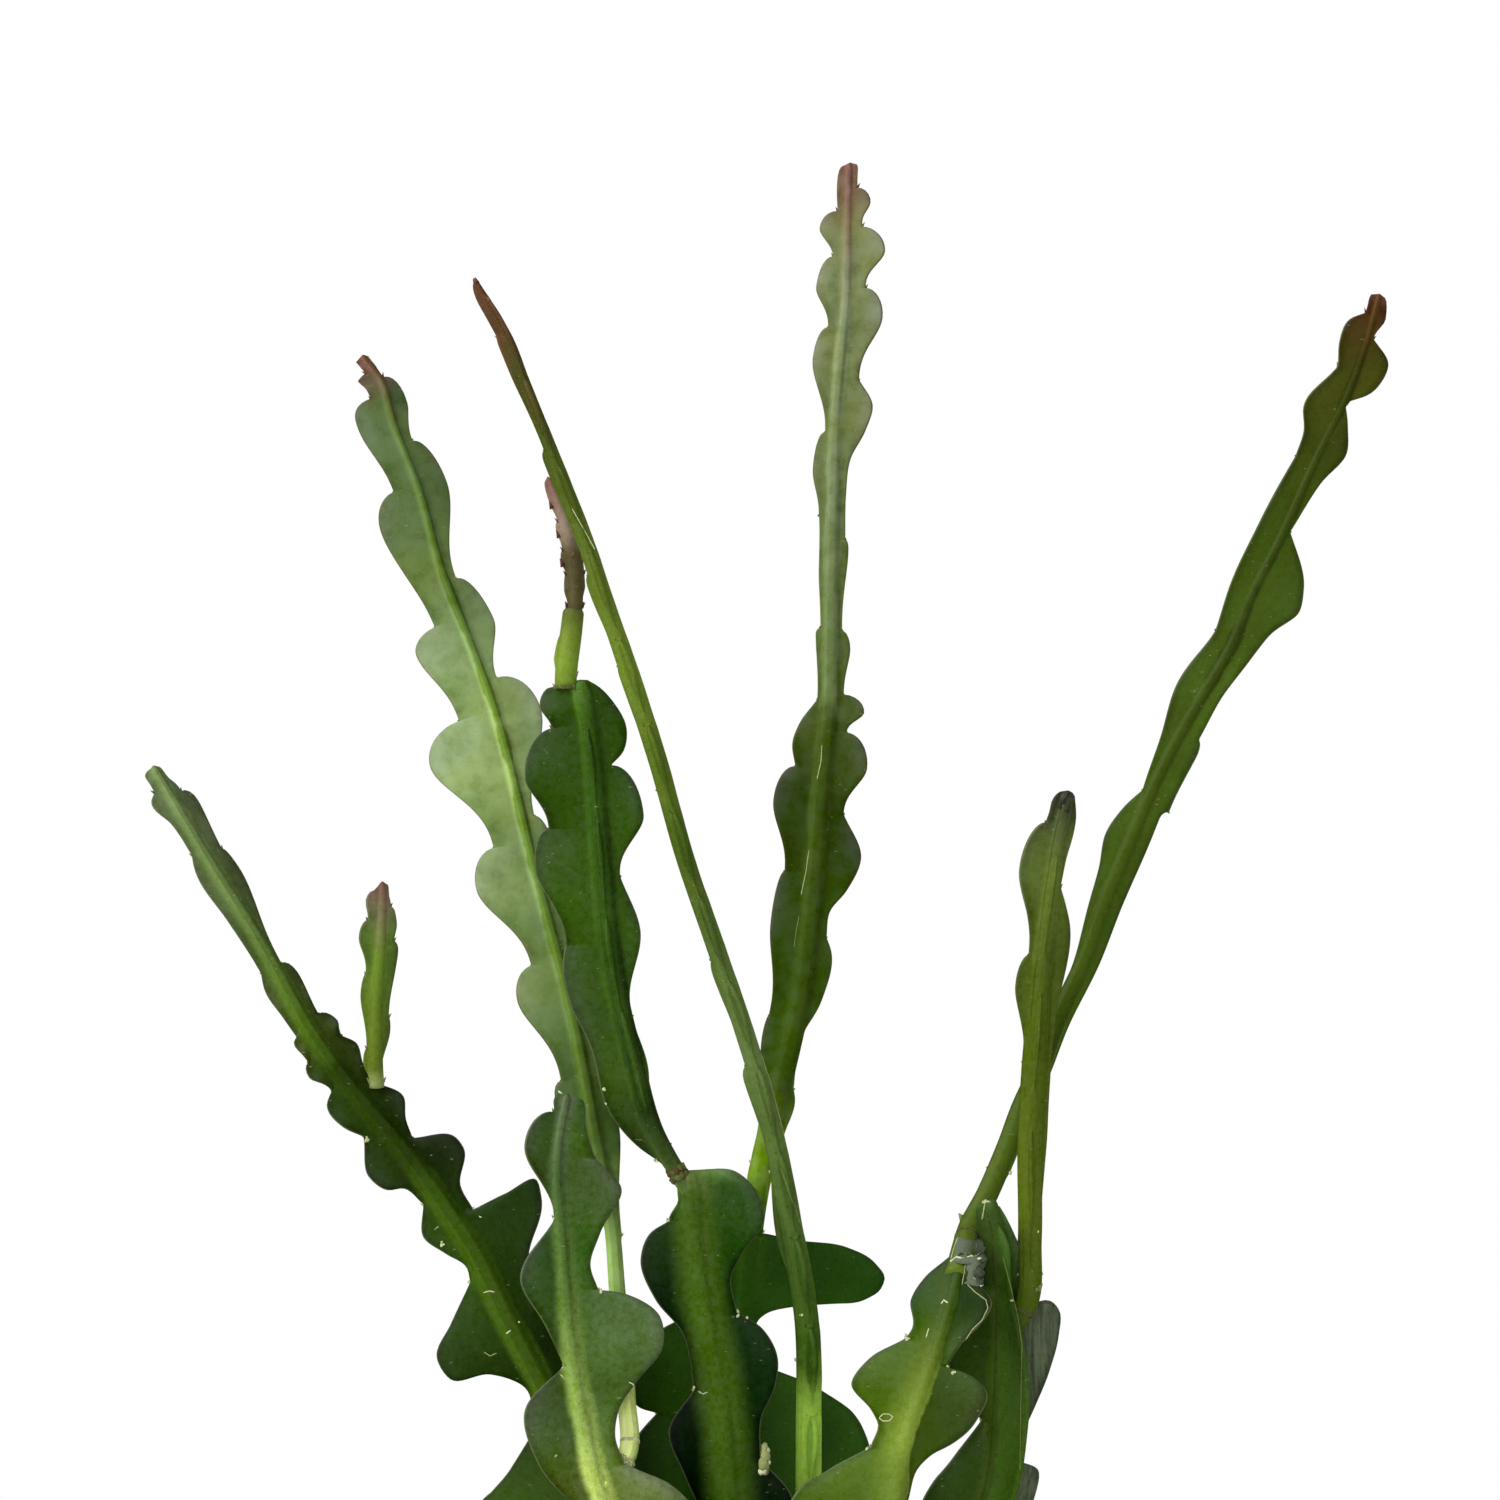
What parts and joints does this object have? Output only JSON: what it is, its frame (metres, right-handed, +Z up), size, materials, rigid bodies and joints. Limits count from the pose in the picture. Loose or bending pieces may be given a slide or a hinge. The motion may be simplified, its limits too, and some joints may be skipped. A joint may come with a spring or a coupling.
{
  "type": "potted ric rac cactus",
  "caption": "Potted ric rac cactus: a clump of flat, wavy-lobed green stems with upright branches, growing from soil in a plain terracotta pot with a rim band.",
  "frame": {"origin": "centre of the underside of the pot's base", "axes": "+Z up along the pot's axis, +X to the viewer's right and -Y towards the viewer of the source picture"},
  "size_m": [0.3981, 0.1495, 0.5905],
  "materials": {
    "terracotta": "matte fired clay",
    "potting_mix": "matte, crumbly",
    "far_left_stem_skin": "satin, waxy",
    "front_left_stem_skin": "satin, waxy",
    "centre_stem_skin": "satin, waxy",
    "edge_on_stem_skin": "satin, waxy",
    "back_stem_skin": "satin, waxy",
    "front_right_stem_skin": "satin, waxy",
    "right_stem_skin": "satin, waxy"
  },
  "bodies": {
    "root": {"pot": "terracotta", "soil": "potting_mix", "far_left_stem": "far_left_stem_skin", "front_left_stem": "front_left_stem_skin", "centre_stem": "centre_stem_skin", "edge_on_stem": "edge_on_stem_skin", "back_stem": "back_stem_skin", "front_right_stem": "front_right_stem_skin", "right_stem": "right_stem_skin"}
  },
  "joints": []
}
